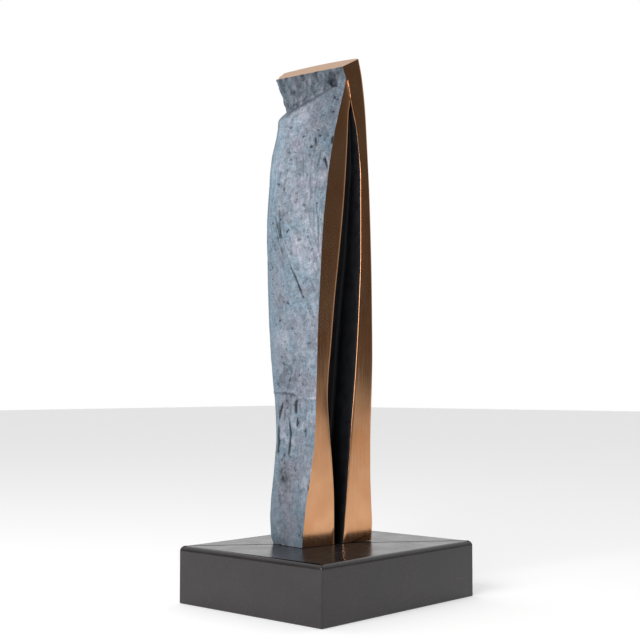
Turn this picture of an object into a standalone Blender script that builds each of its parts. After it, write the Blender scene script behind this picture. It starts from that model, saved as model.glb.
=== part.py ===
import bpy
import bmesh
import math

from mathutils import Vector

# Abstract bronze column on a rectangular stone plinth, in metres, +Z up.
# Origin: centre of the plinth's underside. The polished front of the column looks towards -Y.

# plinth
PLINTH_WIDTH = 0.164
PLINTH_DEPTH = 0.136
PLINTH_HEIGHT = 0.040
PLINTH_TOP_ROUND = 0.0035
PLINTH_CORNER_ROUND = 0.0015
PLINTH_FOOT_ROUND = 0.0010

# seat of the column on the plinth
SEAT_GAP = 0.0003
SEAT_Z = PLINTH_HEIGHT + SEAT_GAP
FRONT_CENTRE = Vector((-0.0003, -0.0089, 0.0))
FRONT_TURN = math.radians(-6.5)

# Stations below: (height above the seat, value), both in millimetres.
# "along" is measured along the foot of the polished front, "behind" is measured into the column.
LEFT_ARRIS_ALONG = (
    (0, -33.3), (26, -30.1), (57, -24.0), (80, -21.2), (115, -19.8), (152, -18.7), (188, -16.4),
    (224, -13.9), (260, -9.5), (290, -4.1), (317, 3.2), (332, 7.6), (337, 8.7), (343, 5.0), (360, 0.0),
)
RIGHT_ARRIS_ALONG = (
    (0, 33.3), (12, 34.0), (28, 33.2), (50, 32.4), (75, 32.6), (113, 34.2), (135, 34.8), (180, 34.4),
    (246, 32.5), (290, 29.9), (315, 28.1), (339, 24.9), (360, 19.5),
)
BACK_LEFT_BULGE = (
    (0, 0.0), (6, 1.6), (20, 2.1), (40, 0.8), (58, -1.0), (76, -2.2), (90, -1.8), (115, 0.5),
    (145, 2.7), (190, 4.5), (224, 5.3), (255, 4.0), (277, 2.1), (300, -2.2), (318, -2.6), (336, 0.3),
    (360, 1.5),
)
BACK_RIGHT_BEHIND = ((0, 33.0), (90, 30.5), (160, 27.0), (225, 21.0), (290, 12.5), (335, 5.5), (360, 2.2))
BACK_LEFT_ALONG = -32.3
BACK_LEFT_BEHIND = 33.0
BACK_LEFT_BULGE_TURN = math.radians(138.8)
EDGE_BAND_ALONG = ((0, 3.0), (200, 4.5), (300, 8.0), (345, 11.5), (360, 11.5))
EDGE_BAND_BEHIND = ((0, 3.5), (200, 5.0), (345, 5.5), (360, 5.5))

SLIT_LEFT_ALONG = (
    (0, -3.1), (30, -3.4), (60, -5.4), (82, -7.4), (104, -8.8), (117, -8.1), (138, -5.7), (174, -2.0),
    (210, 2.6), (247, 6.8), (285, 9.8), (310, 11.4), (323, 13.2),
)
SLIT_RIGHT_ALONG = (
    (0, 5.2), (40, 9.6), (80, 13.8), (124, 18.1), (175, 21.4), (212, 22.9), (264, 23.1), (300, 19.2),
    (316, 15.0), (323, 13.2),
)
SLIT_DEPTH = ((0, 20.0), (140, 19.0), (215, 14.0), (285, 8.0), (323, 3.5))
SLIT_WALL_DRAFT = 0.12
SLIT_TIP_HEIGHT = 323.0

# rounding and swelling of the sections, in millimetres
BACK_LEFT_ROUND = ((0, 2.0), (120, 3.0), (260, 3.0), (345, 0.8), (360, 0.8))
BACK_LEFT_FAR_ROUND = ((0, 2.0), (120, 4.0), (260, 4.5), (360, 5.0))
BACK_RIGHT_ROUND = ((0, 4.0), (200, 4.0), (300, 2.5), (360, 1.0))
BROAD_SIDE_SWELL = ((0, 0.6), (120, 1.2), (220, 3.0), (300, 2.0), (360, 1.0))
BACK_SWELL = ((0, 0.6), (200, 2.0), (300, 2.2), (360, 1.9))

# inclined top cut: height at the left arris and its rise along and behind, in millimetres
TOP_CUT_HEIGHT = 345.3
TOP_CUT_ALONG = 5.3
TOP_CUT_RISE_ALONG = 0.534
TOP_CUT_RISE_BEHIND = 0.300

# notch under the head, in millimetres: the V's bottom line, the head's lower corners and the head's end
NOTCH_NEAR = Vector((8.7, 0.0, 336.5))
NOTCH_FAR = Vector((-21.6, 31.8, 311.8))
HEAD_CORNER = Vector((-31.1, 31.8, 335.4))
HEAD_END_CORNER = Vector((-19.6, 37.3, 343.2))
SHOULDER_FALL = math.radians(27.0)
NOTCH_REACH = 45.0

LEVEL_STEP = 6.0
COLUMN_BLANK_HEIGHT = 366.0


def smooth_value(stations, height):
    """Value at a height, on a smooth monotone curve through the stations."""
    if height <= stations[0][0]:
        return stations[0][1]
    if height >= stations[-1][0]:
        return stations[-1][1]
    slopes = []
    for i in range(len(stations)):
        rises = []
        for j in (i - 1, i):
            if 0 <= j < len(stations) - 1:
                (h0, v0), (h1, v1) = stations[j], stations[j + 1]
                rises.append((v1 - v0) / (h1 - h0))
        if len(rises) == 2 and rises[0] * rises[1] > 0:
            slopes.append(2 * rises[0] * rises[1] / (rises[0] + rises[1]))
        elif len(rises) == 2:
            slopes.append(0.0)
        else:
            slopes.append(rises[0])
    k = 0
    while height > stations[k + 1][0]:
        k += 1
    (h0, v0), (h1, v1) = stations[k], stations[k + 1]
    step = h1 - h0
    u = (height - h0) / step
    return (
        (2 * u ** 3 - 3 * u ** 2 + 1) * v0
        + (u ** 3 - 2 * u ** 2 + u) * step * slopes[k]
        + (3 * u ** 2 - 2 * u ** 3) * v1
        + (u ** 3 - u ** 2) * step * slopes[k + 1]
    )


def place(along, behind, height):
    """Point of the column in metres from its along, behind and height in millimetres."""
    turned = Vector((
        along * math.cos(FRONT_TURN) - behind * math.sin(FRONT_TURN),
        along * math.sin(FRONT_TURN) + behind * math.cos(FRONT_TURN),
        height,
    ))
    return FRONT_CENTRE + turned * 0.001 + Vector((0.0, 0.0, SEAT_Z))


def swollen(start, end, swell, count):
    """Points from start to end (both left out) on a shallow arc that stands out to the right of the run."""
    run = end - start
    side = Vector((run.y, -run.x)).normalized()
    points = []
    for i in range(1, count):
        u = i / count
        points.append(start + run * u + side * (4 * u * (1 - u) * swell))
    return points


def rounded(before, corner, after, radius, count):
    """Points that round a corner between two runs."""
    a = (before - corner).normalized()
    b = (after - corner).normalized()
    half = math.acos(max(-1.0, min(1.0, a.dot(b)))) / 2
    back = min(radius / math.tan(half), 0.45 * (before - corner).length, 0.45 * (after - corner).length)
    start = corner + a * back
    end = corner + b * back
    points = []
    for i in range(count + 1):
        u = i / count
        points.append(start * (1 - u) ** 2 + corner * (2 * u * (1 - u)) + end * u ** 2)
    return points


def section(height):
    """Closed outline of the column at a height, counter-clockwise seen from above, in millimetres."""
    left = Vector((smooth_value(LEFT_ARRIS_ALONG, height), 0.0))
    right = Vector((smooth_value(RIGHT_ARRIS_ALONG, height), 0.0))
    bulge = smooth_value(BACK_LEFT_BULGE, height)
    back_left = Vector((
        BACK_LEFT_ALONG + bulge * math.cos(BACK_LEFT_BULGE_TURN),
        BACK_LEFT_BEHIND + bulge * math.sin(BACK_LEFT_BULGE_TURN),
    ))
    back_right = Vector((right.x + 0.3, smooth_value(BACK_RIGHT_BEHIND, height)))
    far = back_left + Vector((
        smooth_value(EDGE_BAND_ALONG, height), smooth_value(EDGE_BAND_BEHIND, height),
    ))
    outline = [left + (right - left) * (i / 6) for i in range(7)]
    right_round = rounded(right, back_right, far, smooth_value(BACK_RIGHT_ROUND, height), 4)
    far_round = rounded(back_right, far, back_left, smooth_value(BACK_LEFT_FAR_ROUND, height), 3)
    left_round = rounded(far, back_left, left, smooth_value(BACK_LEFT_ROUND, height), 3)
    outline += [right + (right_round[0] - right) * (i / 3) for i in (1, 2)]
    outline += right_round
    outline += swollen(right_round[-1], far_round[0], smooth_value(BACK_SWELL, height), 8)
    outline += far_round
    outline += left_round
    outline += swollen(left_round[-1], left, smooth_value(BROAD_SIDE_SWELL, height), 8)
    return outline


def new_object(name, bm):
    mesh = bpy.data.meshes.new(name)
    bm.to_mesh(mesh)
    bm.free()
    obj = bpy.data.objects.new(name, mesh)
    bpy.context.scene.collection.objects.link(obj)
    return obj


def loft(name, rings):
    """Solid through closed rings of points with the same count, capped at both ends."""
    bm = bmesh.new()
    loops = [[bm.verts.new(point) for point in ring] for ring in rings]
    count = len(loops[0])
    for low, high in zip(loops, loops[1:]):
        for i in range(count):
            j = (i + 1) % count
            bm.faces.new((low[i], low[j], high[j], high[i]))
    bm.faces.new(list(reversed(loops[0])))
    bm.faces.new(loops[-1])
    bmesh.ops.recalc_face_normals(bm, faces=bm.faces)
    return new_object(name, bm)


def column_blank():
    """The column before the recess, the notch and the top cut are taken from it."""
    count = math.ceil(COLUMN_BLANK_HEIGHT / LEVEL_STEP)
    heights = [COLUMN_BLANK_HEIGHT * i / count for i in range(count + 1)]
    rings = [[place(p.x, p.y, h) for p in section(h)] for h in heights]
    return loft("bronze_column", rings)


def cut_top(obj):
    """Take everything above the inclined top plane off, and close the column with a flat face."""
    bm = bmesh.new()
    bm.from_mesh(obj.data)
    origin = place(TOP_CUT_ALONG, 0.0, TOP_CUT_HEIGHT)
    along = place(TOP_CUT_ALONG + 10, 0.0, TOP_CUT_HEIGHT + 10 * TOP_CUT_RISE_ALONG) - origin
    behind = place(TOP_CUT_ALONG, 10.0, TOP_CUT_HEIGHT + 10 * TOP_CUT_RISE_BEHIND) - origin
    normal = along.cross(behind).normalized()
    geometry = bm.verts[:] + bm.edges[:] + bm.faces[:]
    bmesh.ops.bisect_plane(bm, geom=geometry, plane_co=origin, plane_no=normal, clear_outer=True)
    rim = [edge for edge in bm.edges if edge.is_boundary]
    bmesh.ops.contextual_create(bm, geom=rim)
    bmesh.ops.recalc_face_normals(bm, faces=bm.faces)
    bm.to_mesh(obj.data)
    bm.free()


def recess_cutter():
    """Tall lens-shaped wedge that hollows the blind recess between the two leaves."""
    count = 40
    rings = []
    for i in range(count + 1):
        height = SLIT_TIP_HEIGHT * i / count
        left = smooth_value(SLIT_LEFT_ALONG, height)
        right = smooth_value(SLIT_RIGHT_ALONG, height)
        if i == count:
            left -= 0.15
            right += 0.15
        depth = smooth_value(SLIT_DEPTH, height)
        inset = SLIT_WALL_DRAFT * (right - left)
        level = height if i else -3.0
        rings.append([
            place(left, -3.0, level), place(right, -3.0, level), place(right, 0.0, level),
            place(right - inset, depth, level), place(left + inset, depth, level), place(left, 0.0, level),
        ])
    return loft("recess_cutter", rings)


def notch_cutter():
    """Chevron-shaped prism that undercuts the head: its foot is the shoulder's top, its inner walls the head's faces."""
    line = (NOTCH_NEAR - NOTCH_FAR).normalized()
    out = Vector((-line.y, line.x, 0.0)).normalized()
    out = out if out.x < 0 else -out
    shoulder = line.cross(out * math.cos(SHOULDER_FALL) - Vector((0.0, 0.0, math.sin(SHOULDER_FALL))))
    edge = HEAD_CORNER - NOTCH_FAR
    end_face = edge.cross(HEAD_END_CORNER - NOTCH_FAR)
    end_line = end_face.cross(shoulder).normalized()
    end_line = end_line if end_line.x > 0 else -end_line
    aside = Vector((-1.0, 0.0, shoulder.x / shoulder.z)).normalized()
    near = NOTCH_FAR + line * (NOTCH_NEAR - NOTCH_FAR).length * 1.3
    end = NOTCH_FAR + end_line * NOTCH_REACH
    foot = [near, NOTCH_FAR, end, end + aside * 2 * NOTCH_REACH, near + aside * 2 * NOTCH_REACH]
    rings = [[place(*(point + edge * k)) for point in foot] for k in (0.0, 2.2)]
    return loft("notch_cutter", rings)


def subtract(obj, cutter):
    """Take the cutter's volume from the object for good."""
    modifier = obj.modifiers.new(cutter.name, "BOOLEAN")
    modifier.operation = "DIFFERENCE"
    modifier.solver = "EXACT"
    modifier.object = cutter
    graph = bpy.context.evaluated_depsgraph_get()
    mesh = bpy.data.meshes.new_from_object(obj.evaluated_get(graph))
    obj.modifiers.clear()
    old = obj.data
    obj.data = mesh
    bpy.data.meshes.remove(old)
    bpy.data.objects.remove(cutter)


def bronze_column():
    """The cast column: twisted four-sided body, blind recess in front, undercut notch and inclined top."""
    column = column_blank()
    cut_top(column)
    subtract(column, recess_cutter())
    subtract(column, notch_cutter())
    column.data.name = "bronze_column"
    return column


def stone_plinth():
    """Rectangular stone block with rounded top edges and a flat underside."""
    bm = bmesh.new()
    bmesh.ops.create_cube(bm, size=1.0)
    bmesh.ops.scale(bm, vec=(PLINTH_WIDTH, PLINTH_DEPTH, PLINTH_HEIGHT), verts=bm.verts)
    bmesh.ops.translate(bm, vec=(0.0, 0.0, PLINTH_HEIGHT / 2), verts=bm.verts)
    upright = [e for e in bm.edges if abs(e.verts[0].co.z - e.verts[1].co.z) > PLINTH_HEIGHT / 2]
    bmesh.ops.bevel(
        bm, geom=upright, offset=PLINTH_CORNER_ROUND, segments=3, profile=0.5, affect="EDGES", material=-1
    )
    for level, radius, segments in ((PLINTH_HEIGHT, PLINTH_TOP_ROUND, 5), (0.0, PLINTH_FOOT_ROUND, 2)):
        rim = [e for e in bm.edges if all(abs(v.co.z - level) < 1e-6 for v in e.verts)]
        bmesh.ops.bevel(
            bm, geom=rim, offset=radius, segments=segments, profile=0.5, affect="EDGES", material=-1,
            clamp_overlap=True,
        )
    bmesh.ops.recalc_face_normals(bm, faces=bm.faces)
    return new_object("stone_plinth", bm)


def give_finish(obj, name, colour, metallic, roughness):
    material = bpy.data.materials.new(name)
    material.use_nodes = True
    shader = material.node_tree.nodes["Principled BSDF"]
    shader.inputs["Base Color"].default_value = (*colour, 1.0)
    shader.inputs["Metallic"].default_value = metallic
    shader.inputs["Roughness"].default_value = roughness
    obj.data.materials.clear()
    obj.data.materials.append(material)


def main():
    for obj in list(bpy.data.objects):
        bpy.data.objects.remove(obj)
    column = bronze_column()
    plinth = stone_plinth()
    give_finish(column, "bronze", (0.20, 0.13, 0.08), 1.0, 0.4)
    give_finish(plinth, "stone", (0.03, 0.028, 0.028), 0.0, 0.35)


main()
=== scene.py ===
import math

import bmesh
import bpy
from mathutils import Matrix, Vector, noise


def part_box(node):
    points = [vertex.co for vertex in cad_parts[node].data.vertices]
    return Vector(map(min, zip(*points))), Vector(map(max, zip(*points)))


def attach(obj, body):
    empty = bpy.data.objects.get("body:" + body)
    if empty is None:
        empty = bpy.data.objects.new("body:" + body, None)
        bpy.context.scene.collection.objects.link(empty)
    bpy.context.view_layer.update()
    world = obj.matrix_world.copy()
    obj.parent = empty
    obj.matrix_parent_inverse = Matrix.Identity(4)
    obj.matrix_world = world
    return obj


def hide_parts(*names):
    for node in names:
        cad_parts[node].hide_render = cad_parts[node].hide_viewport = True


bl_info = {
    "name": "Cast bronze column",
    "version": (1, 0, 0),
    "blender": (4, 5, 0),
    "location": "View3D > Sidebar > Column",
    "description": "Twisted bronze column with a polished, split front on a dark stone plinth",
    "category": "Object",
}

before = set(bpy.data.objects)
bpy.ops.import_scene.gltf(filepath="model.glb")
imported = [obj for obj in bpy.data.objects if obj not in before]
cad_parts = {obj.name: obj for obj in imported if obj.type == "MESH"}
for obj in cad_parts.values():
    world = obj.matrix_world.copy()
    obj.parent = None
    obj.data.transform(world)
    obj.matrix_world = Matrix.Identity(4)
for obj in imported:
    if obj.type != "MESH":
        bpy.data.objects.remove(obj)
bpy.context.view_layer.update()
PLINTH_LOW, PLINTH_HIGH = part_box("stone_plinth")
SEAT_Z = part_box("bronze_column")[0].z

MM = 0.001

# Form of the column, as its solid has it. Stations are (height above the seat, value) in millimetres.
FRONT_CENTRE = Vector((-0.0003, -0.0089, 0.0))
FRONT_TURN = math.radians(-6.5)
LEFT_ARRIS_ALONG = (
    (0, -33.3), (26, -30.1), (57, -24.0), (80, -21.2), (115, -19.8), (152, -18.7), (188, -16.4),
    (224, -13.9), (260, -9.5), (290, -4.1), (317, 3.2), (332, 7.6), (337, 8.7), (343, 5.0), (360, 0.0),
)
RIGHT_ARRIS_ALONG = (
    (0, 33.3), (12, 34.0), (28, 33.2), (50, 32.4), (75, 32.6), (113, 34.2), (135, 34.8), (180, 34.4),
    (246, 32.5), (290, 29.9), (315, 28.1), (339, 24.9), (360, 19.5),
)
BACK_LEFT_BULGE = (
    (0, 0.0), (6, 1.6), (20, 2.1), (40, 0.8), (58, -1.0), (76, -2.2), (90, -1.8), (115, 0.5),
    (145, 2.7), (190, 4.5), (224, 5.3), (255, 4.0), (277, 2.1), (300, -2.2), (318, -2.6), (336, 0.3),
    (360, 1.5),
)
BACK_RIGHT_BEHIND = ((0, 33.0), (90, 30.5), (160, 27.0), (225, 21.0), (290, 12.5), (335, 5.5), (360, 2.2))
BACK_LEFT_ALONG = -32.3
BACK_LEFT_BEHIND = 33.0
BACK_LEFT_BULGE_TURN = math.radians(138.8)
EDGE_BAND_ALONG = ((0, 3.0), (200, 4.5), (300, 8.0), (345, 11.5), (360, 11.5))
EDGE_BAND_BEHIND = ((0, 3.5), (200, 5.0), (345, 5.5), (360, 5.5))
SLIT_LEFT_ALONG = (
    (0, -3.1), (30, -3.4), (60, -5.4), (82, -7.4), (104, -8.8), (117, -8.1), (138, -5.7), (174, -2.0),
    (210, 2.6), (247, 6.8), (285, 9.8), (310, 11.4), (323, 13.2), (336.5, 10.9), (360, 10.9),
)
SLIT_RIGHT_ALONG = (
    (0, 5.2), (40, 9.6), (80, 13.8), (124, 18.1), (175, 21.4), (212, 22.9), (264, 23.1), (300, 19.2),
    (316, 15.0), (323, 13.2), (336.5, 10.9), (360, 10.9),
)
SLIT_TIP_HEIGHT = 323.0
SLIT_DEPTH = ((0, 20.0), (140, 19.0), (215, 14.0), (285, 8.0), (323, 3.5))
SLIT_WALL_DRAFT = 0.12
BACK_LEFT_ROUND = ((0, 2.0), (120, 3.0), (260, 3.0), (345, 0.8), (360, 0.8))
BACK_LEFT_FAR_ROUND = ((0, 2.0), (120, 4.0), (260, 4.5), (360, 5.0))
BACK_RIGHT_ROUND = ((0, 4.0), (200, 4.0), (300, 2.5), (360, 1.0))
BROAD_SIDE_SWELL = ((0, 0.6), (120, 1.2), (220, 3.0), (300, 2.0), (360, 1.0))
BACK_SWELL = ((0, 0.6), (200, 2.0), (300, 2.2), (360, 1.9))
TOP_CUT_HEIGHT = 345.3
TOP_CUT_ALONG = 5.3
TOP_CUT_RISE_ALONG = 0.534
TOP_CUT_RISE_BEHIND = 0.300
NOTCH_NEAR = Vector((8.7, 0.0, 336.5))
NOTCH_FAR = Vector((-21.6, 31.8, 311.8))
HEAD_CORNER = Vector((-31.1, 31.8, 335.4))
HEAD_END_CORNER = Vector((-19.6, 37.3, 343.2))
SHOULDER_FALL = math.radians(27.0)

# Fineness of the cast surface: rows up the column and columns round it, in the order of the outline.
ROW_STEP = 0.8
BLANK_HEIGHT = 358.4
LEAF_COUNT = 10
WALL_COUNT = 6
FLOOR_COUNT = 8
SIDE_COUNT = 8
ROUND_COUNT = 5
BAND_COUNT = 4
BACK_COUNT = 40
BROAD_COUNT = 86

# Marks on the broad side: (points as distance from the arris and height, half width, depth), millimetres.
BROAD_MARKS = (
    (((25.7, 202.8), (18.5, 190.3), (14.2, 180.8), (9.9, 170.4)), 0.55, 0.55),
    (((23.4, 200.0), (17.0, 187.0), (12.0, 176.0)), 0.45, 0.35),
    (((37.2, 235.4), (31.8, 218.5), (29.0, 205.0)), 0.5, 0.35),
    (((33.5, 228.0), (27.5, 208.0)), 0.45, 0.3),
    (((5.8, 244.6), (2.8, 225.0), (1.8, 207.0)), 0.45, 0.4),
    (((8.6, 246.0), (5.2, 222.0)), 0.4, 0.3),
    (((24.4, 277.9), (22.2, 265.3)), 0.5, 0.3),
    (((19.7, 277.8), (17.3, 262.1)), 0.5, 0.3),
    (((12.8, 292.4), (11.9, 287.1)), 0.5, 0.5),
    (((3.8, 277.1), (2.3, 272.7), (0.9, 268.5)), 0.6, 0.8),
    (((0.5, 293.0), (0.2, 287.6)), 0.7, 0.9),
    (((27.5, 99.9), (29.9, 92.2), (31.0, 86.6)), 0.8, 0.9),
    (((15.7, 102.3), (16.2, 92.8)), 0.9, 1.0),
    (((21.8, 89.2), (20.1, 77.4), (21.1, 63.2)), 0.8, 1.0),
    (((14.8, 89.3), (14.7, 82.2)), 0.7, 0.8),
    (((31.4, 84.9), (31.2, 64.1)), 1.2, 1.2),
    (((7.6, 82.4), (7.5, 75.3)), 0.6, 0.7),
    (((25.4, 96.0), (25.9, 88.0)), 0.7, 0.6),
    (((1.0, 42.6), (0.4, 39.6)), 0.9, 0.8),
)
BROAD_PITS = (
    (30.6, 281.2, 0.9, 0.6), (14.8, 284.9, 0.8, 0.7), (15.2, 242.3, 0.8, 0.8), (16.5, 249.2, 0.7, 0.5),
    (9.7, 188.8, 0.7, 0.5), (23.9, 171.8, 1.0, 0.5), (19.8, 153.2, 0.8, 0.5), (24.7, 46.6, 0.9, 0.9),
    (10.4, 334.3, 2.4, 2.2), (22.0, 170.0, 0.7, 0.4), (26.0, 173.0, 0.7, 0.4),
)
BROAD_SEAM = (
    (-2.0, 103.4), (5.8, 103.3), (14.0, 104.3), (16.3, 107.3), (23.4, 108.9), (32.9, 108.9), (40.0, 107.0),
)


def linear(code):
    """sRGB hex colour as the linear values that a shader takes."""
    code = code.lstrip("#")
    values = []
    for i in (0, 2, 4):
        c = int(code[i:i + 2], 16) / 255
        values.append(c / 12.92 if c <= 0.04045 else ((c + 0.055) / 1.055) ** 2.4)
    return (*values, 1.0)


def colour_prop(name, description, code):
    return bpy.props.FloatVectorProperty(
        name=name, description=description, subtype="COLOR", size=4, min=0.0, max=1.0, default=linear(code)
    )


def length_prop(name, description, metres):
    return bpy.props.FloatProperty(
        name=name, description=description, default=metres, min=0.0, unit="LENGTH", subtype="DISTANCE"
    )


class CastColumnSettings(bpy.types.PropertyGroup):
    relief: bpy.props.FloatProperty(
        name="Relief", description="Strength of the cast relief on the patinated sides", default=1.0, min=0.0
    )
    edge: length_prop("Edge softness", "Rounding of the polished edges", 0.00035)
    patina_mid: colour_prop("Patina", "Main grey of the patina", "#8b8d99")
    patina_dark: colour_prop("Patina dark", "Slate grey in the low places", "#4c5660")
    patina_pale: colour_prop("Patina pale", "Rubbed places", "#bdbcc8")
    # Patina blue is also the painted sheen: it is mixed in along the rounded back-left edge to paint a grazing
    # reflection.
    patina_blue_and_rim_sheen: colour_prop("Patina blue", "Blue-green bloom near the edges", "#7c91a0")
    bronze: colour_prop("Bronze", "Polished bronze", "#d39c73")
    bronze_cut: colour_prop("Bronze cut", "Brushed bronze of the top cut", "#d9b698")
    recess: colour_prop("Recess", "Black patina of the recess", "#0b0c11")


class PlinthSettings(bpy.types.PropertyGroup):
    top_round: length_prop("Top rounding", "Radius of the top edges", 0.0035)
    corner_round: length_prop("Corner rounding", "Radius of the upright edges", 0.0015)
    stone: colour_prop("Stone", "Honed dark stone", "#2f2b2b")


class StageSettings(bpy.types.PropertyGroup):
    floor: colour_prop("Floor", "Pale floor", "#f2f2f2")
    floor_size: length_prop("Floor size", "Side of the floor", 12.0)
    lens: bpy.props.FloatProperty(name="Lens", description="Camera lens", default=67.5, unit="CAMERA")


def smooth_value(stations, height):
    """Value at a height, on a smooth monotone curve through the stations."""
    if height <= stations[0][0]:
        return stations[0][1]
    if height >= stations[-1][0]:
        return stations[-1][1]
    k = 0
    while height > stations[k + 1][0]:
        k += 1
    slopes = []
    for i in (k, k + 1):
        rises = []
        for j in (i - 1, i):
            if 0 <= j < len(stations) - 1:
                (h0, v0), (h1, v1) = stations[j], stations[j + 1]
                rises.append((v1 - v0) / (h1 - h0))
        if len(rises) == 1:
            slopes.append(rises[0])
        elif rises[0] * rises[1] > 0:
            slopes.append(2 * rises[0] * rises[1] / (rises[0] + rises[1]))
        else:
            slopes.append(0.0)
    (h0, v0), (h1, v1) = stations[k], stations[k + 1]
    step = h1 - h0
    u = (height - h0) / step
    return (
        (2 * u ** 3 - 3 * u ** 2 + 1) * v0
        + (u ** 3 - 2 * u ** 2 + u) * step * slopes[0]
        + (3 * u ** 2 - 2 * u ** 3) * v1
        + (u ** 3 - u ** 2) * step * slopes[1]
    )


def place(along, behind, height):
    """Point of the column in metres from its along, behind and height in millimetres."""
    turned = Vector((
        along * math.cos(FRONT_TURN) - behind * math.sin(FRONT_TURN),
        along * math.sin(FRONT_TURN) + behind * math.cos(FRONT_TURN),
        height,
    ))
    return FRONT_CENTRE + turned * MM + Vector((0.0, 0.0, SEAT_Z))


def turned(direction):
    """A direction given as along, behind and up, in the frame's axes."""
    return (place(*direction) - place(0.0, 0.0, 0.0)).normalized()


def straight(start, end, count):
    return [start + (end - start) * (i / count) for i in range(count)]


def swollen(start, end, swell, count):
    """Points from start towards end, which is left out, on a shallow arc that stands out to the run's right."""
    run = end - start
    side = Vector((run.y, -run.x)).normalized()
    shares = [i / count for i in range(count)]
    return [start + run * u + side * (4 * u * (1 - u) * swell) for u in shares]


def rounded(before, corner, after, radius, count):
    """Points that round a corner between two runs."""
    a = (before - corner).normalized()
    b = (after - corner).normalized()
    half = math.acos(max(-1.0, min(1.0, a.dot(b)))) / 2
    back = min(radius / math.tan(half), 0.45 * (before - corner).length, 0.45 * (after - corner).length)
    start = corner + a * back
    end = corner + b * back
    points = []
    for i in range(count + 1):
        u = i / count
        points.append(start * (1 - u) ** 2 + corner * (2 * u * (1 - u)) + end * u ** 2)
    return points


# How far the polished leaves stand back from the flat front, at the slit and at the right arris, by height.
LEFT_LEAF_BACK = (
    (0, 0.0), (45, -0.25), (88, 0.30), (130, 0.75), (200, 0.5), (290, 0.15), (315, 0.40), (335.6, 0.45),
    (336.5, 0.0), (360, 0.0),
)
RIGHT_LEAF_BACK = ((0, 0.0), (80, 0.55), (135, 0.0), (190, -0.35), (270, -0.1), (323, 0.0), (360, 0.0))


def front_run(height, edge):
    """Front outline at a height, from the left arris to the right one, by way of the recess."""
    left = smooth_value(LEFT_ARRIS_ALONG, height)
    right = smooth_value(RIGHT_ARRIS_ALONG, height)
    slit_left = smooth_value(SLIT_LEFT_ALONG, height)
    slit_right = smooth_value(SLIT_RIGHT_ALONG, height)
    width = 0.0 if height >= SLIT_TIP_HEIGHT else max(0.0, slit_right - slit_left)
    back_left = smooth_value(LEFT_LEAF_BACK, height)
    back_right = smooth_value(RIGHT_LEAF_BACK, height)
    soft = min(edge, width / 2)
    depth = smooth_value(SLIT_DEPTH, height) * min(1.0, width / 3.0)
    inset = SLIT_WALL_DRAFT * width
    points = []
    for i in range(LEAF_COUNT):
        u = i / LEAF_COUNT
        points.append(Vector((left + (slit_left - soft - left) * u, back_left * u * u)))
    lip = Vector((slit_left - soft, back_left))
    points += [lip, Vector((slit_left - 0.3 * soft, back_left + 0.3 * soft))]
    wall_left = Vector((slit_left, back_left + soft))
    foot_left = Vector((slit_left + inset, max(depth, back_left + soft)))
    foot_right = Vector((slit_right - inset, max(depth, back_right + soft)))
    wall_right = Vector((slit_right, back_right + soft))
    if width <= 0.0:
        foot_left = wall_left = lip
        foot_right = wall_right = Vector((slit_right, back_right))
    points += straight(wall_left, foot_left, WALL_COUNT)
    points += straight(foot_left, foot_right, FLOOR_COUNT)
    points += straight(foot_right, wall_right, WALL_COUNT)
    points += [wall_right, Vector((slit_right + 0.3 * soft, back_right + 0.3 * soft))]
    for i in range(LEAF_COUNT + 1):
        u = i / LEAF_COUNT
        along = slit_right + soft + (right - edge - slit_right - soft) * u
        points.append(Vector((along, back_right * (1 - u) ** 2)))
    points += [Vector((right - 0.3 * edge, 0.3 * edge)), Vector((right, edge))]
    return points


def skin_run(height, edge):
    """Outline behind the front at a height: right side, back, edge band, and broad side to the left arris."""
    left = Vector((smooth_value(LEFT_ARRIS_ALONG, height), 0.0))
    right = Vector((smooth_value(RIGHT_ARRIS_ALONG, height), 0.0))
    bulge = smooth_value(BACK_LEFT_BULGE, height)
    back_left = Vector((
        BACK_LEFT_ALONG + bulge * math.cos(BACK_LEFT_BULGE_TURN),
        BACK_LEFT_BEHIND + bulge * math.sin(BACK_LEFT_BULGE_TURN),
    ))
    back_right = Vector((right.x + 0.3, smooth_value(BACK_RIGHT_BEHIND, height)))
    far = back_left + Vector((
        smooth_value(EDGE_BAND_ALONG, height), smooth_value(EDGE_BAND_BEHIND, height),
    ))
    right_round = rounded(right, back_right, far, smooth_value(BACK_RIGHT_ROUND, height), ROUND_COUNT)
    far_round = rounded(back_right, far, back_left, smooth_value(BACK_LEFT_FAR_ROUND, height), ROUND_COUNT)
    left_round = rounded(far, back_left, left, smooth_value(BACK_LEFT_ROUND, height), ROUND_COUNT)
    start = Vector((right.x, edge))
    points = straight(start, right_round[0], SIDE_COUNT)[1:] + right_round[:-1]
    points += swollen(right_round[-1], far_round[0], smooth_value(BACK_SWELL, height), BACK_COUNT)
    points += far_round[:-1] + straight(far_round[-1], left_round[0], BAND_COUNT) + left_round[:-1]
    points += swollen(left_round[-1], left, smooth_value(BROAD_SIDE_SWELL, height), BROAD_COUNT) + [left]
    return points


FRONT_COUNT = 2 * LEAF_COUNT + 2 * WALL_COUNT + FLOOR_COUNT + 7
RECESS_FIRST = LEAF_COUNT + 2
RECESS_LAST = RECESS_FIRST + 2 * WALL_COUNT + FLOOR_COUNT
SKIN_FIRST = FRONT_COUNT - 1
BACK_LAST = SKIN_FIRST + SIDE_COUNT + ROUND_COUNT + BACK_COUNT
BAND_LAST = BACK_LAST + 2 * ROUND_COUNT + BAND_COUNT
RING_COUNT = BAND_LAST + BROAD_COUNT


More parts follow.
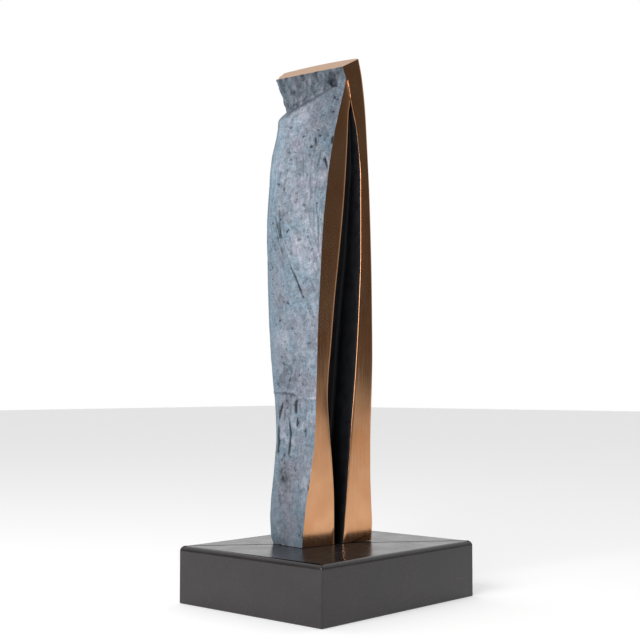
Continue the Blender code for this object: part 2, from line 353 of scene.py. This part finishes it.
def notch_planes():
    """Outward normals of the shoulder's top, the head's face and the head's end."""
    line = (NOTCH_NEAR - NOTCH_FAR).normalized()
    out = Vector((-line.y, line.x, 0.0)).normalized()
    out = out if out.x < 0 else -out
    fall = out * math.cos(SHOULDER_FALL) - Vector((0.0, 0.0, math.sin(SHOULDER_FALL)))
    shoulder = line.cross(fall).normalized()
    shoulder = shoulder if shoulder.z > 0 else -shoulder
    edge = HEAD_CORNER - NOTCH_FAR
    face = line.cross(edge).normalized()
    face = face if face.y < 0 else -face
    end = edge.cross(HEAD_END_CORNER - NOTCH_FAR).normalized()
    end = end if end.y > 0 else -end
    return shoulder, face, end


SHOULDER_UP, HEAD_OUT, HEAD_END_OUT = notch_planes()
CARVE_TURN = ((0.0, 0.0), (0.10, 48.0), (0.6, 48.0), (1.0, 0.0))


def notch_depth(point):
    """How far a point lies in the notch, in millimetres. It is negative in the metal."""
    away = point - NOTCH_FAR
    return min(away.dot(SHOULDER_UP), max(away.dot(HEAD_OUT), away.dot(HEAD_END_OUT)))


def carve_direction(column):
    """Level direction in which a column of the grid sinks into the notch."""
    if column >= BAND_LAST:
        turn = smooth_value(CARVE_TURN, (RING_COUNT - column) / BROAD_COUNT)
    elif column >= BACK_LAST:
        turn = -45.0 * (BAND_LAST - column) / (BAND_LAST - BACK_LAST)
    else:
        turn = -60.0
    return Vector((math.cos(math.radians(turn)), math.sin(math.radians(turn)), 0.0))


def carved(point, column):
    """The point, sunk onto the walls of the notch where it lies in it."""
    if notch_depth(point) <= 0.0:
        return point
    direction = carve_direction(column)
    low, high = 0.0, 30.0
    for _ in range(18):
        middle = (low + high) / 2
        if notch_depth(point + direction * middle) > 0.0:
            low = middle
        else:
            high = middle
    return point + direction * high


def stroke_depth(u, height, points, half_width, depth):
    """Depth of a tapering groove at a place on the broad side."""
    best = 0.0
    count = len(points) - 1
    for k in range(count):
        (u0, h0), (u1, h1) = points[k], points[k + 1]
        if not (min(u0, u1) - 3 < u < max(u0, u1) + 3 and min(h0, h1) - 3 < height < max(h0, h1) + 3):
            continue
        du, dh = u1 - u0, h1 - h0
        s = max(0.0, min(1.0, ((u - u0) * du + (height - h0) * dh) / (du * du + dh * dh)))
        off = math.hypot(u - u0 - du * s, height - h0 - dh * s)
        taper = 1.0 - 0.6 * abs(2 * (k + s) / count - 1) ** 3
        best = max(best, depth * taper * math.exp(-(off / half_width) ** 2))
    return best


def fractal(x, y, z, octaves):
    """Sum of noises, each half the size of the last."""
    total, strength = 0.0, 1.0
    for k in range(octaves):
        scale = 2 ** k
        spot = Vector((x * scale, y * scale, z * scale)) + Vector((k * 7.3, 1.7, 4.1))
        total += strength * noise.noise(spot)
        strength *= 0.55
    return total


STREAK_STRENGTH = (
    (0, 0.10), (60, 0.12), (115, 0.08), (150, 0.16), (180, 0.34), (250, 0.34), (285, 0.20), (310, 0.10),
    (360, 0.1),
)
STREAK_LEAN = ((0, 0.1), (120, 0.2), (170, 0.45), (215, 0.36), (260, 0.14), (300, 0.05), (360, 0.0))
TORN_STRENGTH = ((0, 0.15), (50, 0.15), (66, 0.7), (95, 0.8), (104, 0.35), (115, 0.1), (360, 0.1))


def seam_height(u):
    for (u0, h0), (u1, h1) in zip(BROAD_SEAM, BROAD_SEAM[1:]):
        if u <= u1:
            return h0 + (h1 - h0) * max(0.0, (u - u0) / (u1 - u0))
    return BROAD_SEAM[-1][1]


def broad_relief(u, height, head):
    """Relief of the cast skin in millimetres at a distance from the arris and a height. head is 1 on the head."""
    wave = 0.45 * noise.noise(Vector((u / 26, height / 34, 2.3)))
    lump = 0.22 * noise.noise(Vector((u / 7.5, height / 10, 9.1)))
    grain = 0.13 * fractal(u / 2.6, height / 2.9, 5.2, 2)
    across = u - smooth_value(STREAK_LEAN, height) * (height - 200.0)
    bend = 1.6 * noise.noise(Vector((u / 18, height / 25, 6.6)))
    streak = noise.noise(Vector(((across + bend) / 1.9, height / 24, 3.7)))
    streak += 0.6 * noise.noise(Vector(((across + bend) / 1.05, height / 15, 8.2)))
    streak = -abs(streak) + 0.25
    torn = noise.noise(Vector((u / 3.4, height / 7.5, 11.4)))
    torn_ridge = 0.55 - abs(torn) * 2.4
    total = wave + lump + grain
    total += smooth_value(STREAK_STRENGTH, height) * streak * (1 - head)
    total += 0.35 * smooth_value(TORN_STRENGTH, height) * torn_ridge * (1 - head)
    pocks = noise.noise(Vector((u / 1.7, height / 1.8, 20.5)))
    if pocks > 0.42:
        total -= (pocks - 0.42) * 1.5
    for points, half_width, depth in BROAD_MARKS:
        total -= stroke_depth(u, height, points, half_width, depth)
    for pit_u, pit_height, radius, depth in BROAD_PITS:
        off = math.hypot(u - pit_u, height - pit_height)
        if off < 3 * radius:
            total -= depth * math.exp(-(off / radius) ** 2)
    off = height - seam_height(u) - 0.6 * noise.noise(Vector((u / 2.2, 0.0, 31.0)))
    if abs(off) < 5:
        total += 0.38 * math.exp(-(off / 0.7) ** 2) - 0.25 * math.exp(-((off + 1.8) / 1.0) ** 2)
    if head > 0.0:
        drip = noise.noise(Vector((u / 2.4, height / 8.0, 15.5)))
        rough = fractal(u / 3.2, height / 4.2, 17.7, 3)
        total += head * (0.45 * drip + 0.55 * rough)
    return total


def new_piece(name, bm, materials):
    """Object at the origin from a bmesh, with its finishes."""
    for face in bm.faces:
        face.smooth = True
    mesh = bpy.data.meshes.new(name)
    bm.to_mesh(mesh)
    bm.free()
    for material in materials:
        mesh.materials.append(material)
    piece = bpy.data.objects.new(name, mesh)
    bpy.context.scene.collection.objects.link(piece)
    return piece


def add(tree, kind, inputs=None, stops=None, **settings):
    """One shader node with its settings, ramp stops, and values or links for its inputs."""
    node = tree.nodes.new(kind)
    for key, value in settings.items():
        setattr(node, key, value)
    if stops:
        ramp = node.color_ramp
        while len(ramp.elements) < len(stops):
            ramp.elements.new(1.0)
        for element, (position, colour) in zip(ramp.elements, stops):
            element.position = position
            element.color = colour if len(colour) == 4 else (*colour, 1.0)
    for key, value in (inputs or {}).items():
        if isinstance(value, bpy.types.NodeSocket):
            tree.links.new(value, node.inputs[key])
        else:
            node.inputs[key].default_value = value
    return node


def new_material(name, **values):
    """A Principled material with plain values on its own sockets."""
    material = bpy.data.materials.new(name)
    material.use_nodes = True
    shader = material.node_tree.nodes["Principled BSDF"]
    for key, value in values.items():
        shader.inputs[key.replace("_", " ")].default_value = value
    return material, material.node_tree, shader


def grey(value):
    return (value, value, value, 1.0)


def mixed(tree, factor, first, second, blend="MIX"):
    """Two colours mixed by a factor."""
    node = add(tree, "ShaderNodeMix", data_type="RGBA", blend_type=blend)
    for socket, value in ((node.inputs[0], factor), (node.inputs[6], first), (node.inputs[7], second)):
        if isinstance(value, bpy.types.NodeSocket):
            tree.links.new(value, socket)
        else:
            socket.default_value = value
    return node.outputs[2]


def patina_material(settings):
    """Nitrate patina on sand-cast bronze: blue-grey, dull, mottled, dark in the pits, rubbed pale on the highs,
    with a painted blue-grey sheen on the rounded back-left edge.
    """
    material, tree, shader = new_material("nitrate_patina_on_cast_bronze", Metallic=0.35)
    where = add(tree, "ShaderNodeTexCoord").outputs["Object"]
    relief = add(tree, "ShaderNodeAttribute", attribute_name="relief").outputs["Fac"]
    head = add(tree, "ShaderNodeAttribute", attribute_name="head").outputs["Fac"]
    rim_sheen = add(tree, "ShaderNodeAttribute", attribute_name="painted_rim_sheen").outputs["Fac"]
    cloud = add(tree, "ShaderNodeTexNoise", {"Vector": where, "Scale": 55.0, "Detail": 4.0, "Roughness": 0.6})
    mottle = add(tree, "ShaderNodeTexNoise", {"Vector": where, "Scale": 260.0, "Detail": 5.0, "Roughness": 0.65})
    grit = add(tree, "ShaderNodeTexNoise", {"Vector": where, "Scale": 1100.0, "Detail": 3.0, "Roughness": 0.7})
    cloud_ramp = add(tree, "ShaderNodeValToRGB", {"Fac": cloud.outputs["Fac"]}, stops=(
        (0.35, grey(0.0)), (0.65, grey(1.0)),
    ))
    colour = mixed(tree, cloud_ramp.outputs["Color"], settings.patina_mid, settings.patina_blue_and_rim_sheen)
    mottle_ramp = add(tree, "ShaderNodeValToRGB", {"Fac": mottle.outputs["Fac"]}, stops=(
        (0.38, grey(0.0)), (0.62, grey(1.0)),
    ))
    dark_share = add(tree, "ShaderNodeMath", {0: mottle_ramp.outputs["Color"], 1: 0.45}, operation="MULTIPLY")
    colour = mixed(tree, dark_share.outputs[0], colour, settings.patina_dark)
    rub = add(tree, "ShaderNodeMapRange", {"Value": relief, "From Min": 0.52, "From Max": 0.72, "To Max": 0.6})
    colour = mixed(tree, rub.outputs[0], colour, settings.patina_pale)
    # Painted sheen: the rounded back-left edge is mixed towards blue-grey, a grazing reflection painted into the
    # colour.
    colour = mixed(tree, rim_sheen, colour, settings.patina_blue_and_rim_sheen)
    sunk = add(tree, "ShaderNodeMapRange", {
        "Value": relief, "From Min": 0.42, "From Max": 0.22, "To Max": 0.9,
    })
    colour = mixed(tree, sunk.outputs[0], colour, linear("#20262c"))
    head_share = add(tree, "ShaderNodeMath", {0: head, 1: 0.55}, operation="MULTIPLY")
    colour = mixed(tree, head_share.outputs[0], colour, linear("#3c454d"))
    grit_ramp = add(tree, "ShaderNodeValToRGB", {"Fac": grit.outputs["Fac"]}, stops=(
        (0.30, grey(0.62)), (0.50, grey(0.95)), (0.70, grey(1.25)),
    ))
    colour = mixed(tree, 1.0, colour, grit_ramp.outputs["Color"], "MULTIPLY")
    tree.links.new(colour, shader.inputs["Base Color"])
    rough = add(tree, "ShaderNodeMapRange", {
        "Value": mottle.outputs["Fac"], "From Min": 0.3, "From Max": 0.7, "To Min": 0.44, "To Max": 0.66,
    })
    tree.links.new(rough.outputs[0], shader.inputs["Roughness"])
    bump = add(tree, "ShaderNodeBump", {"Height": grit.outputs["Fac"], "Strength": 0.55, "Distance": 0.0005})
    tree.links.new(bump.outputs["Normal"], shader.inputs["Normal"])
    return material


def polished_material(settings):
    """Bronze ground and buffed: warm copper-orange, with faint upright buffing lines and uneven colour."""
    material, tree, shader = new_material("buffed_bronze", Metallic=1.0)
    where = add(tree, "ShaderNodeTexCoord").outputs["Object"]
    stain = add(tree, "ShaderNodeTexNoise", {"Vector": where, "Scale": 38.0, "Detail": 3.0})
    stain_ramp = add(tree, "ShaderNodeValToRGB", {"Fac": stain.outputs["Fac"]}, stops=(
        (0.35, linear("#cf9468")), (0.5, tuple(settings.bronze)), (0.68, linear("#dba67c")),
    ))
    tree.links.new(stain_ramp.outputs["Color"], shader.inputs["Base Color"])
    stretched = add(tree, "ShaderNodeMapping", {"Vector": where, "Scale": (1500.0, 1500.0, 40.0)})
    lines = add(tree, "ShaderNodeTexNoise", {"Vector": stretched.outputs["Vector"], "Scale": 1.0, "Detail": 2.0})
    rough = add(tree, "ShaderNodeMapRange", {
        "Value": lines.outputs["Fac"], "From Min": 0.3, "From Max": 0.7, "To Min": 0.10, "To Max": 0.17,
    })
    tree.links.new(rough.outputs[0], shader.inputs["Roughness"])
    return material


def cut_material(settings):
    """Saw-cut and brushed bronze: paler and duller than the mirror faces."""
    material, tree, shader = new_material("brushed_bronze_cut", Metallic=1.0)
    where = add(tree, "ShaderNodeTexCoord").outputs["Object"]
    stretched = add(tree, "ShaderNodeMapping", {"Vector": where, "Scale": (120.0, 900.0, 900.0)})
    lines = add(tree, "ShaderNodeTexNoise", {"Vector": stretched.outputs["Vector"], "Scale": 1.0, "Detail": 3.0})
    ramp = add(tree, "ShaderNodeValToRGB", {"Fac": lines.outputs["Fac"]}, stops=(
        (0.35, linear("#c8a284")), (0.65, tuple(settings.bronze_cut)),
    ))
    tree.links.new(ramp.outputs["Color"], shader.inputs["Base Color"])
    rough = add(tree, "ShaderNodeMapRange", {
        "Value": lines.outputs["Fac"], "From Min": 0.3, "From Max": 0.7, "To Min": 0.32, "To Max": 0.48,
    })
    tree.links.new(rough.outputs[0], shader.inputs["Roughness"])
    return material


def recess_material(settings):
    """Thick black patina, waxed: near black with a faint sheen."""
    material, tree, shader = new_material("waxed_black_patina", Metallic=0.0, Specular_IOR_Level=0.35)
    where = add(tree, "ShaderNodeTexCoord").outputs["Object"]
    film = add(tree, "ShaderNodeTexNoise", {"Vector": where, "Scale": 180.0, "Detail": 4.0})
    ramp = add(tree, "ShaderNodeValToRGB", {"Fac": film.outputs["Fac"]}, stops=(
        (0.35, tuple(settings.recess)), (0.7, linear("#14151b")),
    ))
    tree.links.new(ramp.outputs["Color"], shader.inputs["Base Color"])
    rough = add(tree, "ShaderNodeMapRange", {
        "Value": film.outputs["Fac"], "From Min": 0.3, "From Max": 0.7, "To Min": 0.45, "To Max": 0.62,
    })
    tree.links.new(rough.outputs[0], shader.inputs["Roughness"])
    return material


def stone_material(settings):
    """Dense dark stone, honed and oiled: satin, near black, with pale pinpoint crystals."""
    material, tree, shader = new_material("honed_dark_stone", Metallic=0.0)
    where = add(tree, "ShaderNodeTexCoord").outputs["Object"]
    cloud = add(tree, "ShaderNodeTexNoise", {"Vector": where, "Scale": 45.0, "Detail": 5.0, "Roughness": 0.6})
    ramp = add(tree, "ShaderNodeValToRGB", {"Fac": cloud.outputs["Fac"]}, stops=(
        (0.35, linear("#272424")), (0.65, tuple(settings.stone)),
    ))
    crystal = add(tree, "ShaderNodeTexVoronoi", {"Vector": where, "Scale": 420.0})
    crystal_ramp = add(tree, "ShaderNodeValToRGB", {"Fac": crystal.outputs["Distance"]}, stops=(
        (0.05, grey(1.0)), (0.09, grey(0.0)),
    ))
    share = add(tree, "ShaderNodeMath", {0: crystal_ramp.outputs["Color"], 1: 0.35}, operation="MULTIPLY")
    colour = mixed(tree, share.outputs[0], ramp.outputs["Color"], linear("#8d8583"))
    tree.links.new(colour, shader.inputs["Base Color"])
    rough = add(tree, "ShaderNodeMapRange", {
        "Value": cloud.outputs["Fac"], "From Min": 0.3, "From Max": 0.7, "To Min": 0.20, "To Max": 0.30,
    })
    tree.links.new(rough.outputs[0], shader.inputs["Roughness"])
    return material


def floor_material(settings):
    """White studio paper."""
    material, tree, shader = new_material("studio_paper", Roughness=1.0, Specular_IOR_Level=0.0)
    shader.inputs["Base Color"].default_value = settings.floor
    shader.inputs["Emission Color"].default_value = (1.0, 1.0, 1.0, 1.0)
    shader.inputs["Emission Strength"].default_value = 0.35
    return material


class SCULPTURE_OT_cast_column(bpy.types.Operator):
    """Model the cast column: polished split front, patinated sides, undercut head and inclined top"""

    bl_idname = "sculpture.cast_column"
    bl_label = "Cast column"

    def execute(self, context):
        settings = context.scene.cast_column
        edge = settings.edge / MM
        rows = round(BLANK_HEIGHT / ROW_STEP)
        bm = bmesh.new()
        relief_layer = bm.verts.layers.float.new("relief")
        head_layer = bm.verts.layers.float.new("head")
        rim_sheen_layer = bm.verts.layers.float.new("painted_rim_sheen")
        bmesh.ops.create_grid(bm, x_segments=RING_COUNT, y_segments=rows, size=1.0)
        grid = {}
        for vert in bm.verts:
            column = round((vert.co.x + 1) / 2 * RING_COUNT)
            row = round((vert.co.y + 1) / 2 * rows)
            grid[column, row] = vert
        around = {}
        for row in range(rows + 1):
            height = row * ROW_STEP
            outline = front_run(height, edge) + skin_run(height, edge)
            outline = [Vector((p.x, p.y, height)) for p in outline]
            if height > 290.0:
                outline = [
                    carved(p, c or RING_COUNT) if c >= BACK_LAST - 14 or c == 0 else p
                    for c, p in enumerate(outline)
                ]
                start, end = outline[0], outline[LEAF_COUNT]
                for c in range(1, LEAF_COUNT):
                    u = c / LEAF_COUNT
                    outline[c] = Vector((start.x + (end.x - start.x) * u, outline[c].y, height))
            distance = 0.0
            for column in range(RING_COUNT, -1, -1):
                if column < RING_COUNT:
                    distance += (outline[column + 1] - outline[column]).length
                around[column, row] = distance
                grid[column, row].co = place(*outline[column])
        for row in range(rows):
            for column in range(RING_COUNT):
                corner = grid[column, row]
                opposite = grid[column + 1, row + 1]
                face = next(f for f in corner.link_faces if opposite in f.verts)
                if column >= SKIN_FIRST:
                    face.material_index = 0
                elif RECESS_FIRST <= column < RECESS_LAST and row * ROW_STEP < SLIT_TIP_HEIGHT:
                    face.material_index = 2
                else:
                    face.material_index = 1
        rim = [
            grid[c, r]
            for r in range(int(300 / ROW_STEP), rows)
            for c in range(BACK_LAST - 10, RING_COUNT)
            if abs(self.shoulder_gap(grid[c, r].co)) < 1.3
        ]
        for _ in range(4):
            bmesh.ops.smooth_vert(
                bm, verts=rim, factor=0.5, use_axis_x=True, use_axis_y=True, use_axis_z=True
            )
        bm.normal_update()
        moves = []
        for (column, row), vert in grid.items():
            if column < SKIN_FIRST + 2 and column != 0:
                continue
            height = row * ROW_STEP
            u = around[column, row] if column else 0.0
            c = column or RING_COUNT
            head = self.head_share(vert.co) if c >= BACK_LAST - 10 else 0.0
            strength = 0.75 if c < BAND_LAST else 1.0
            strength *= min(1.0, (c - SKIN_FIRST - 1) / 4)
            value = broad_relief(u, height, head) * strength * settings.relief
            rim_sheen = 0.0
            # Painted sheen mask: strongest just past the back-left rounding, fading over eleven columns each way,
            # stored at 0.7.
            if c > BACK_LAST:
                far = abs(c - (BAND_LAST + 2)) / 11
                rim_sheen = max(0.0, 1.0 - far)
            vert[relief_layer] = 0.5 + value / 2.0
            vert[head_layer] = head
            vert[rim_sheen_layer] = rim_sheen * 0.7
            normal = vert.normal.copy()
            if column in (0, RING_COUNT):
                normal = turned((-1.0, 0.0, 0.0)) * 0.55
            moves.append((vert, normal * value * MM))
        for vert, move in moves:
            vert.co += move
        for vert in bm.verts:
            if vert[relief_layer] == 0.0:
                vert[relief_layer] = 0.5
        for column in (0, RING_COUNT, SKIN_FIRST + 1):
            for row in range(rows):
                shared = bm.edges.get((grid[column, row], grid[column, row + 1]))
                if shared:
                    shared.smooth = False
        bmesh.ops.remove_doubles(bm, verts=bm.verts, dist=1e-6)
        origin = place(TOP_CUT_ALONG, 0.0, TOP_CUT_HEIGHT)
        along = place(TOP_CUT_ALONG + 10, 0.0, TOP_CUT_HEIGHT + 10 * TOP_CUT_RISE_ALONG) - origin
        behind = place(TOP_CUT_ALONG, 10.0, TOP_CUT_HEIGHT + 10 * TOP_CUT_RISE_BEHIND) - origin
        normal = along.cross(behind).normalized()
        geometry = bm.verts[:] + bm.edges[:] + bm.faces[:]
        bmesh.ops.bisect_plane(
            bm, geom=geometry, plane_co=origin, plane_no=normal, clear_outer=True, dist=1e-6
        )
        rims = [e for e in bm.edges if e.is_boundary]
        for rim_edge in rims:
            rim_edge.smooth = False
        top_rim = [e for e in rims if e.verts[0].co.z > SEAT_Z + 0.1]
        foot_rim = [e for e in rims if e.verts[0].co.z <= SEAT_Z + 0.1]
        for rim_edges, index in ((top_rim, 3), (foot_rim, 0)):
            made = bmesh.ops.contextual_create(bm, geom=rim_edges)
            for face in made["faces"]:
                face.material_index = index
                face.smooth = False
        bmesh.ops.recalc_face_normals(bm, faces=bm.faces)
        materials = [
            patina_material(settings), polished_material(settings), recess_material(settings),
            cut_material(settings),
        ]
        piece = new_piece("cast_column", bm, materials)
        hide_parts("bronze_column")
        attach(piece, "root")
        return {"FINISHED"}

    @staticmethod
    def local(co):
        """Along, behind and height in millimetres of a point in metres."""
        away = (co - FRONT_CENTRE) / MM
        c, s = math.cos(FRONT_TURN), math.sin(FRONT_TURN)
        return Vector((away.x * c + away.y * s, -away.x * s + away.y * c, (co.z - SEAT_Z) / MM))

    def shoulder_gap(self, co):
        return (self.local(co) - NOTCH_FAR).dot(SHOULDER_UP)

    def head_share(self, co):
        """1 on the head above the notch, 0 below it."""
        return max(0.0, min(1.0, (self.shoulder_gap(co) + 0.2) / 0.8))


class SCULPTURE_OT_plinth(bpy.types.Operator):
    """Model the stone plinth: a block with soft top edges"""

    bl_idname = "sculpture.plinth"
    bl_label = "Plinth"

    def execute(self, context):
        settings = context.scene.column_plinth
        size = PLINTH_HIGH - PLINTH_LOW
        middle = (PLINTH_HIGH + PLINTH_LOW) / 2
        bm = bmesh.new()
        bmesh.ops.create_cube(bm, size=1.0, matrix=Matrix.Translation(middle) @ Matrix.Diagonal((*size, 1.0)))
        upright = [e for e in bm.edges if abs(e.verts[0].co.z - e.verts[1].co.z) > size.z / 2]
        bmesh.ops.bevel(
            bm, geom=upright, offset=settings.corner_round, segments=4, profile=0.5, affect="EDGES",
            material=-1,
        )
        for level, radius, segments in ((PLINTH_HIGH.z, settings.top_round, 8), (PLINTH_LOW.z, 0.001, 3)):
            rim = [e for e in bm.edges if all(abs(v.co.z - level) < 1e-6 for v in e.verts)]
            bmesh.ops.bevel(
                bm, geom=rim, offset=radius, segments=segments, profile=0.5, affect="EDGES", material=-1
            )
        bmesh.ops.recalc_face_normals(bm, faces=bm.faces)
        piece = new_piece("plinth_block", bm, [stone_material(settings)])
        normals = piece.modifiers.new("even_shading", "WEIGHTED_NORMAL")
        normals.weight = 100
        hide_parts("stone_plinth")
        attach(piece, "root")
        return {"FINISHED"}


class SCULPTURE_OT_stage(bpy.types.Operator):
    """Set the pale floor, the soft light and the camera"""

    bl_idname = "sculpture.stage"
    bl_label = "Stage"

    def execute(self, context):
        settings = context.scene.column_stage
        scene = context.scene
        bm = bmesh.new()
        half = settings.floor_size / 2
        bmesh.ops.create_grid(bm, x_segments=1, y_segments=1, size=half)
        floor = new_piece("floor", bm, [floor_material(settings)])
        self.world(scene)
        self.lamp("key_softbox", (-1.3, -0.25, 0.75), (0.0, 0.0, 0.24), 0.9, 0.9, 17.0)
        self.camera(scene, settings)
        scene.view_settings.view_transform = "Standard"
        return {"FINISHED"}

    @staticmethod
    def lamp(name, spot, target, width, height, power):
        """A rectangular soft light that faces a target."""
        data = bpy.data.lights.new(name, "AREA")
        data.shape = "RECTANGLE"
        data.size = width
        data.size_y = height
        data.energy = power
        lamp = bpy.data.objects.new(name, data)
        lamp.location = spot
        lamp.rotation_mode = "QUATERNION"
        lamp.rotation_quaternion = (Vector(target) - Vector(spot)).to_track_quat("-Z", "Y")
        bpy.context.scene.collection.objects.link(lamp)

    @staticmethod
    def world(scene):
        """White for the camera. For light and reflections: a white sweep behind, a dim room in front."""
        world = bpy.data.worlds.new("studio")
        scene.world = world
        world.use_nodes = True
        tree = world.node_tree
        tree.nodes.clear()
        where = add(tree, "ShaderNodeTexCoord").outputs["Generated"]
        facing = add(tree, "ShaderNodeVectorMath", {0: where, 1: (0.70, 0.64, 0.32)}, operation="DOT_PRODUCT")
        ramp = add(tree, "ShaderNodeValToRGB", {"Fac": facing.outputs["Value"]}, stops=(
            (0.0, grey(0.10)), (0.15, grey(0.16)), (0.40, grey(0.8)), (1.0, grey(0.95)),
        ))
        seen = add(tree, "ShaderNodeLightPath").outputs["Is Camera Ray"]
        colour = mixed(tree, seen, ramp.outputs["Color"], grey(1.0))
        background = add(tree, "ShaderNodeBackground", {"Color": colour, "Strength": 1.0})
        add(tree, "ShaderNodeOutputWorld", {"Surface": background.outputs["Background"]})

    @staticmethod
    def camera(scene, settings):
        """The photograph's viewpoint: from the plinth's front-left corner, a little above its top."""
        data = bpy.data.cameras.new("photo_camera")
        data.sensor_width = 36.0
        data.lens = settings.lens
        camera = bpy.data.objects.new("photo_camera", data)
        yaw, pitch = math.radians(42.35), math.radians(3.15)
        forward = Vector((
            math.cos(yaw) * math.cos(pitch), math.sin(yaw) * math.cos(pitch), math.sin(pitch),
        ))
        camera.location = (-0.6455, -0.580, 0.1525)
        camera.rotation_mode = "QUATERNION"
        camera.rotation_quaternion = forward.to_track_quat("-Z", "Y")
        scene.collection.objects.link(camera)
        scene.camera = camera


class SCULPTURE_PT_column(bpy.types.Panel):
    """Steps that build the sculpture"""

    bl_idname = "SCULPTURE_PT_column"
    bl_label = "Bronze column"
    bl_space_type = "VIEW_3D"
    bl_region_type = "UI"
    bl_category = "Column"

    def draw(self, context):
        layout = self.layout
        scene = context.scene
        for step, group in STEPS:
            box = layout.box()
            box.operator(step.bl_idname)
            settings = getattr(scene, group)
            for name in settings.bl_rna.properties.keys():
                if name not in ("rna_type", "name"):
                    box.prop(settings, name)


STEPS = (
    (SCULPTURE_OT_cast_column, "cast_column"),
    (SCULPTURE_OT_plinth, "column_plinth"),
    (SCULPTURE_OT_stage, "column_stage"),
)
GROUPS = (
    ("cast_column", CastColumnSettings),
    ("column_plinth", PlinthSettings),
    ("column_stage", StageSettings),
)
CLASSES = tuple(group for _, group in GROUPS) + tuple(step for step, _ in STEPS) + (SCULPTURE_PT_column,)


def register():
    for cls in CLASSES:
        bpy.utils.register_class(cls)
    for name, group in GROUPS:
        setattr(bpy.types.Scene, name, bpy.props.PointerProperty(type=group))


def unregister():
    for name, _ in GROUPS:
        delattr(bpy.types.Scene, name)
    for cls in reversed(CLASSES):
        bpy.utils.unregister_class(cls)


def main():
    register()
    bpy.ops.sculpture.cast_column()
    bpy.ops.sculpture.plinth()
    bpy.ops.sculpture.stage()


if __name__ == "__main__":
    main()
